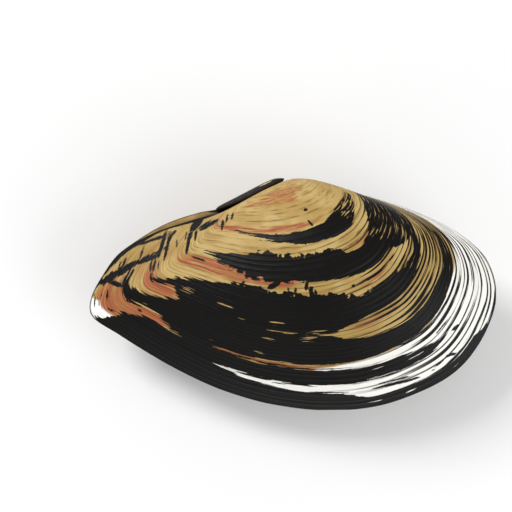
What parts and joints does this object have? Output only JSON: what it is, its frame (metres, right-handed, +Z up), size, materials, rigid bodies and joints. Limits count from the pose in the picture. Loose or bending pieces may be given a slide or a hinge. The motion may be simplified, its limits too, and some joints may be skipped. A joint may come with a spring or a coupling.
{
  "type": "mussel shell",
  "caption": "Closed mussel shell lying on one side: two swollen valves with concentric growth ledges, joined behind the beaks by a horny ligament.",
  "frame": {"origin": "centre of the bounding box, on the surface that the shell lies on", "axes": "+X to the broad front end, +Y to the hinge, +Z up through the right valve"},
  "size_m": [0.095, 0.0538, 0.0325],
  "materials": {
    "right_valve": "horny skin over lime: tan and coral near-black growth bands, satin with a soft gloss",
    "left_valve": "horny skin over lime: tan and coral near-black growth bands, satin with a soft gloss",
    "ligament": "dark brown horn with fine cross grooves, satin"
  },
  "bodies": {
    "root": {"right_valve": "right_valve", "left_valve": "left_valve", "ligament": "ligament"}
  },
  "joints": []
}
